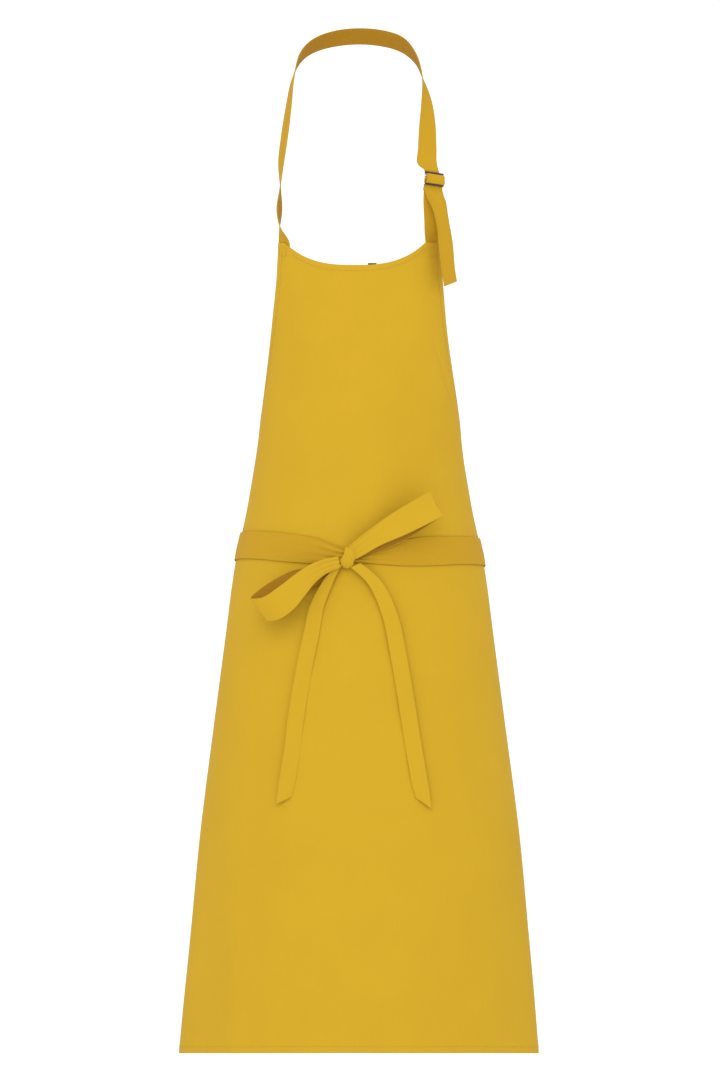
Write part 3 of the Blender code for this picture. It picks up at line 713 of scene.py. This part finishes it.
def box_sides(one_way, other_way, steps):
    """The four sides of a stitched box, from its two limits one way and the other way."""
    (left, right), (top, low) = one_way, other_way
    corners = ((left, top), (right, top), (right, low), (left, low), (left, top))
    share = np.linspace(0, 1, steps)
    return [(a + (b - a) * share, c + (d - c) * share) for (a, c), (b, d) in zip(corners[:-1], corners[1:])]


for side, word in ((-1, "left"), (1, "right")):
    lines = []
    for across, below in box_sides((-0.0060, 0.0060), (0.0055, 0.0150), 6):
        lines.append(on_panel(side * (SEAM_ACROSS[side] + across), BIB_DROP + below, STITCH_LIFT))
    sew(f"strap_square_{word}", f"strap_stitching_{word}", lines)


# --- The waist ties ---
# Two 30 mm ties, each sewn on at its own back corner of the panel. They cross behind the back and
# come round to the front, where they narrow into folds and go into the knot.

TIE_WIDTH = 0.030
TIE_THICK = 0.0010
TIE_ROWS = 340
GATHER = 0.060  # the length in which it is drawn into pleats before the knot
# The waist ties' cotton carries painted shade, a shade deeper than the panel's.
shaded_tie_cotton = cotton("cotton_tie_shaded", SHADED_TIE_COLOUR)


def add_tie(name, stations):
    """A tie round the section, through stations of degrees, drop, lift in millimetres and width."""
    sign = 1 if stations[-1][0] > stations[0][0] else -1
    table = np.array([(sign * angle, drop, lift / 1000, width) for angle, drop, lift, width in stations])
    at = np.linspace(table[0, 0], table[-1, 0], TIE_ROWS)
    drop, lift, width = smooth(table)(at).T
    half, deep, _ = section(drop).T
    angle = np.radians(at)
    along = np.hypot(half * np.cos(angle), deep * np.sin(angle))
    lean = np.arctan2(np.gradient(drop, at), along * math.radians(1))
    share = across_strip(17)
    side = width[:, None] / 2 * share
    turned = angle[:, None] - side * np.sin(lean)[:, None] / along[:, None]
    lowered = drop[:, None] + side * np.cos(lean)[:, None]
    run = run_of(on_section(angle, drop))
    near = ease(run[-1] - GATHER, run[-1], run)[:, None]
    pleats = 0.0011 * near * np.sin(2 * math.pi * 1.6 * share + 0.7)
    pull = 0.00035 * (1 - near) * wave(run[:, None] / 0.083 + 0.4 * share) * (1 - share**2)
    middle = on_section(sign * turned, lowered, lift[:, None] + pleats + np.abs(pull))
    middle = middle[:, ::-1] if sign > 0 else middle
    places = cloth_places(share * TIE_WIDTH / 2, run)
    tie = add_sheet(name + "_cloth", middle, TIE_THICK / 2, TIE_THICK / 2, places, shaded_tie_cotton, bulge=0.0004)
    lines = [seam_row(middle, c, TIE_THICK / 2)[6:] for c in EDGE_COLUMNS]
    stitches = add_stitches(name + "_stitches", lines)
    for piece in (tie, stitches):
        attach(piece, "apron")
    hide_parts(name)


left_tie_route = [
    (-157.0, 0.5430, 1.6, 0.030), (-163.0, 0.5440, 1.9, 0.030), (-169.0, 0.5500, 3.2, 0.030),
    (-180.0, 0.5630, 3.4, 0.030), (-191.0, 0.5780, 3.4, 0.030), (-200.0, 0.5850, 3.0, 0.030),
    (-218.0, 0.5850, 1.8, 0.030), (-245.0, 0.5800, 1.7, 0.030), (-275.0, 0.5750, 1.7, 0.030),
    (-305.0, 0.5735, 1.7, 0.030), (-333.0, 0.5752, 1.8, 0.030), (-342.0, 0.5768, 2.1, 0.026),
    (-350.0, 0.5785, 2.6, 0.020), (-358.2, 0.5800, 3.6, 0.014), (-364.0, 0.5803, 5.0, 0.012),
]
right_tie_route = [
    (157.0, 0.5430, 1.6, 0.030), (163.0, 0.5440, 1.7, 0.030), (169.0, 0.5500, 1.7, 0.030),
    (180.0, 0.5630, 1.7, 0.030), (191.0, 0.5780, 1.7, 0.030), (200.0, 0.5850, 1.7, 0.030),
    (218.0, 0.5850, 1.7, 0.030), (245.0, 0.5750, 1.7, 0.030), (275.0, 0.5685, 1.7, 0.030),
    (305.0, 0.5675, 1.7, 0.030), (328.0, 0.5712, 1.8, 0.030), (339.0, 0.5742, 2.2, 0.027),
    (349.0, 0.5785, 3.6, 0.018), (354.5, 0.5800, 5.0, 0.014),
]
add_tie("waist_tie_left", left_tie_route)
add_tie("waist_tie_right", right_tie_route)
TACK_LIFT = 0.0016 + TIE_THICK / 2 + 0.0002  # on the tie's outer face
for side, word in ((-1, "left"), (1, "right")):
    lines = []
    for drop, degrees in box_sides((0.5330, 0.5530), (157.2, 160.2), 8):
        lines.append(on_section(side * np.radians(degrees), drop, TACK_LIFT))
    sew(f"tie_tack_stitches_{word}", f"tie_tack_{word}", lines)


# --- The knot ---
# The tie's last turn wraps once round everything at the bow's middle. It is gathered into a
# narrow band with folds along it, and it leans to the wearer's left at the top.

knot_low, knot_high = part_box("bow_knot")
knot_at = np.array((knot_low + knot_high) / 2)
KNOT_LEAN = math.radians(24)
KNOT_DEPTH, KNOT_HEIGHT, KNOT_HALF = 0.0058, 0.0122, 0.0082
KNOT_RIDGE = 0.0007
up = np.array((math.sin(KNOT_LEAN), 0.0, math.cos(KNOT_LEAN)))
sideways = np.array((math.cos(KNOT_LEAN), 0.0, -math.sin(KNOT_LEAN)))
forward = np.array((0.0, -1.0, 0.0))
turn = np.linspace(-0.5 * math.pi - 0.35, 1.5 * math.pi - 0.30, 90)[:, None] - 0.5 * math.pi
share = across_strip(33)[None, :]
fold = np.abs(np.sin(2 * math.pi * (0.95 * share + 0.12 * np.sin(turn))))
crown = 1 - 0.42 * share**2
depth = KNOT_DEPTH * crown + KNOT_RIDGE * fold
height = KNOT_HEIGHT * crown + 0.0006 * fold
width = KNOT_HALF * (1 - 0.22 * np.cos(turn) ** 2) * share
middle = knot_at + width[..., None] * sideways
middle = middle + (height * np.sin(turn))[..., None] * up + (depth * np.cos(turn))[..., None] * forward
places = cloth_places(share[0] * TIE_WIDTH / 2, turn[:, 0] * 0.011)
knot = add_sheet("knot_wrap", middle, TIE_THICK / 2, TIE_THICK / 2, places, panel_cotton, bulge=0.0004)
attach(knot, "apron")
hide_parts("bow_knot")


# --- The bow's loops ---
# Each loop is the tie folded back on itself at its full width. The right one lies flat and rises,
# and the left one hangs open, so that its inside shows along the top.

NARROWEST = 0.012  # where the loops come out of the knot
PLEAT = 0.0007


def add_loop(name, node, stations, faces):
    """A loop through stations of centre, tilt in degrees and width. It lifts from the bend on."""

    def gathered(run, width):
        share = across_strip(17)
        tight = ease(0.0, 1.0, (TIE_WIDTH - width) / (TIE_WIDTH - NARROWEST))[:, None]
        crowned = PLEAT * (1 - tight) * (1 - share**2)
        pleats = PLEAT * tight * np.sin(2 * math.pi * 1.5 * share + 0.5)
        return width[:, None] / 2 * share, pleats + crowned

    turned = []
    for centre, tilt, width in stations:
        slope = math.radians(tilt)
        turned.append((centre, (-math.sin(slope), 0.0, math.cos(slope)), width))
    loop, _ = add_ribbon(name, turned, 9, TIE_THICK, faces[0], gathered, TIE_WIDTH, faces[1])
    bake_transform(loop)
    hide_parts(node)


right_loop = [
    ((-0.0090, -0.1765, -0.5762), 24, 0.0160), ((0.0010, -0.1810, -0.5695), 26, 0.0185),
    ((0.0150, -0.1835, -0.5602), 28, 0.0205), ((0.0456, -0.1850, -0.5429), 30, 0.0275),
    ((0.0790, -0.1800, -0.5250), 29, 0.0300), ((0.0855, -0.1765, -0.5216), 28, 0.0300),
    ((0.0792, -0.1730, -0.5254), 29, 0.0300), ((0.0482, -0.1720, -0.5472), 30, 0.0270),
    ((0.0180, -0.1720, -0.5652), 28, 0.0210), ((-0.0030, -0.1710, -0.5765), 26, 0.0160),
]
left_loop = [
    ((-0.0225, -0.1765, -0.5865), 12, 0.0130), ((-0.0390, -0.1810, -0.5915), 16, 0.0160),
    ((-0.0520, -0.1855, -0.5990), 20, 0.0200), ((-0.0650, -0.1890, -0.6105), 26, 0.0250),
    ((-0.0805, -0.1905, -0.6255), 32, 0.0295), ((-0.1010, -0.1830, -0.6385), 34, 0.0300),
    ((-0.1119, -0.1735, -0.6386), 35, 0.0300), ((-0.1018, -0.1650, -0.6290), 34, 0.0300),
    ((-0.0822, -0.1625, -0.6155), 30, 0.0285), ((-0.0688, -0.1630, -0.6070), 22, 0.0240),
    ((-0.0575, -0.1655, -0.6040), 18, 0.0225), ((-0.0435, -0.1680, -0.5995), 16, 0.0200),
    ((-0.0270, -0.1700, -0.5910), 12, 0.0140),
]
# The loops' inner faces take the deeper painted shade, and their outer faces the panel's cotton.
inside_under = (panel_cotton, inner_shade_cotton)
inside_over = (inner_shade_cotton, panel_cotton)
add_loop("loop_right_cloth", "bow_loop_right", right_loop, inside_under)
add_loop("loop_left_cloth", "bow_loop_left", left_loop, inside_over)


# --- The bow's tails ---
# The ties' two ends hang from the knot in front of the skirt, folded lengthwise so that they look
# narrow. Their ends are cut on a slant and turned under.

HALF_FOLD = 0.00062  # from the middle of a folded tail to each of its layers
TAIL_WIDTH = 0.018  # as folded
TAIL_LIFT = 0.0033
RIPPLE = 0.0004


def add_tail(name, node, route, fold_side, slope):
    """A folded tail down a route of places across and drops, with its end cut on a slope."""
    stations = []
    for x, drop in route:
        near = math.exp(-(drop - 0.60) / 0.03)
        half = section(drop)[0]
        centre = on_section(math.asin(x / half), drop, TAIL_LIFT + 0.0045 * near)
        stations.append((centre, (1.0, 0.05, 0.35 * near), TAIL_WIDTH - 0.005 * near))

    def folded(run, width):
        """From the free edge over the front to the fold, round it and back behind."""
        over = np.concatenate([np.linspace(-1.0, 0.90, 12), np.full(5, 0.93), np.linspace(0.88, -0.25, 8)])
        turn = np.radians(np.linspace(60, -60, 5))
        over[12:17] += 0.06 * np.cos(turn)
        high = HALF_FOLD * np.concatenate([np.full(12, -1.0), -np.sin(turn), np.full(8, 1.0)])
        wide = fold_side * width[:, None] / 2 * over
        ripple = np.sin(2 * math.pi * run[:, None] / 0.071 + 2.0 * over) * ease(0.0, 0.05, run)[:, None]
        return wide, high + RIPPLE * ripple * (over > -0.9)

    tail, _ = add_ribbon(name, stations, 12, TIE_THICK, panel_cotton, folded, TIE_WIDTH)
    slant_end(tail, stations[-1][0], slope, 0.020)
    end = tuple(stations[1][0] + 0.6 * (stations[2][0] - stations[1][0]))
    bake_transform(tail)
    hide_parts(node)


left_route = (
    (-0.0225, 0.5905), (-0.0305, 0.6015), (-0.0380, 0.6160), (-0.0460, 0.6350), (-0.0518, 0.6620),
    (-0.0595, 0.7000), (-0.0680, 0.7500), (-0.0740, 0.7980), (-0.0790, 0.8300), (-0.0823, 0.8510),
)
right_route = (
    (-0.0040, 0.5900), (0.0045, 0.5970), (0.0145, 0.6070), (0.0245, 0.6240), (0.0340, 0.6490),
    (0.0417, 0.6860), (0.0480, 0.7220), (0.0551, 0.7665), (0.0606, 0.8010), (0.0669, 0.8377),
    (0.0700, 0.8540),
)
add_tail("tail_left_cloth", "bow_tail_left", left_route, 1, 0.45)
add_tail("tail_right_cloth", "bow_tail_right", right_route, -1, -0.70)


# --- The labels ---
# A small black ribbon tab is sewn inside the neckline, and a white satin care label is caught in
# the left side hem. Both are blank.

RIB = 0.0006  # from one cross rib of a ribbon to the next
LABEL_X = 0.0145
LABEL_LIFT = -0.0030  # behind the panel


def ribbon_finish(name, colour, roughness):
    finish = Finish(name, {"Specular IOR Level": 0.2, "Roughness": roughness})
    uv = finish.node("ShaderNodeUVMap", {"uv_map": "cloth"}, {})
    along = finish.node("ShaderNodeSeparateXYZ", {}, {0: uv}, "Y")
    rib = finish.node("ShaderNodeMath", {"operation": "SINE"}, {0: along * (2 * math.pi / RIB)})
    shades = {0: 0.5 + 0.5 * rib, 6: (*[0.8 * c for c in colour], 1.0), 7: (*colour, 1.0)}
    finish.put("Base Color", finish.node("ShaderNodeMix", {"data_type": "RGBA"}, shades, 2))
    bump = {"Strength": 0.3, "Distance": 0.00005, "Height": rib}
    finish.put("Normal", finish.node("ShaderNodeBump", {}, bump))
    return finish.material


def add_label(name, node, body, across, drops, finish):
    """A blank ribbon behind the panel, that hangs from the first of its drops with a slight curl."""
    angle = angle_at(across, float(drops[0]))
    grid = []
    for number, drop in enumerate(drops):
        curl = 0.0004 * math.sin(3.0 * number / len(drops))
        grid.append(on_section(angle, np.full(len(across), drop), LABEL_LIFT - curl))
    places = cloth_places(across, drops)
    label = add_sheet(name, np.array(grid), 0.0002, 0.0002, places, finish, bulge=0.0001)
    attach(label, body)
    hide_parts(node)
    return label


black_satin = ribbon_finish("ribbon_black", (0.006, 0.006, 0.005), 0.6)
add_label(
    "black_ribbon", "neck_label", "neck_tab",
    np.linspace(LABEL_X + 0.0048, LABEL_X - 0.0048, 9), np.linspace(0.2540, 0.2712, 14), black_satin,
)
white_satin = ribbon_finish("satin_white", (0.80, 0.79, 0.76), 0.38)
care_tab = add_label(
    "care_ribbon", "care_label", "care_tab",
    np.linspace(-0.285, -0.310, 12), np.linspace(0.760, 0.805, 22), white_satin,
)


# --- The studio ---
# A wide pale floor some way below the hem, an even white surround, and one large soft light from the
# front, high and a little to the left. The camera looks level at the front from far away.

FLOOR_DROP = 1.46
bpy.ops.mesh.primitive_circle_add(vertices=96, radius=6.0, fill_type="NGON", location=(0, 0, -FLOOR_DROP))
floor = bpy.context.active_object
floor.name = "floor"
floor_finish = Finish("floor_paint", {"Base Color": (0.86, 0.86, 0.85, 1.0), "Roughness": 0.9})
floor.data.materials.append(floor_finish.material)

world = bpy.data.worlds.new("surround")
bpy.context.scene.world = world
world.use_nodes = True
background = world.node_tree.nodes["Background"]
background.inputs["Color"].default_value = (1.0, 1.0, 1.0, 1.0)
background.inputs["Strength"].default_value = 1.18
bpy.context.scene.view_settings.view_transform = "Standard"

AIM = Vector((0.0005, -0.150, -0.5618))
key = bpy.data.lights.new("key", "AREA")
key.shape = "SQUARE"
key.size = 3.5
key.energy = 105.0
key_light = bpy.data.objects.new("key", key)
key_light.location = (-0.35, -5.2, 1.9)
key_light.rotation_euler = (AIM - key_light.location).to_track_quat("-Z", "Y").to_euler()
bpy.context.scene.collection.objects.link(key_light)

VIEW_HEIGHT = 1.2015  # what the camera sees from top to bottom, at the aim
DISTANCE = 20.0
lens = bpy.data.cameras.new("camera")
lens.sensor_fit = "VERTICAL"
lens.sensor_height = 24.0
lens.lens = lens.sensor_height * DISTANCE / VIEW_HEIGHT
lens.clip_end = 100.0
camera = bpy.data.objects.new("camera", lens)
camera.location = AIM + Vector((0.0, -DISTANCE, 0.0))
camera.rotation_euler = (math.radians(90), 0.0, 0.0)
bpy.context.scene.collection.objects.link(camera)
bpy.context.scene.camera = camera
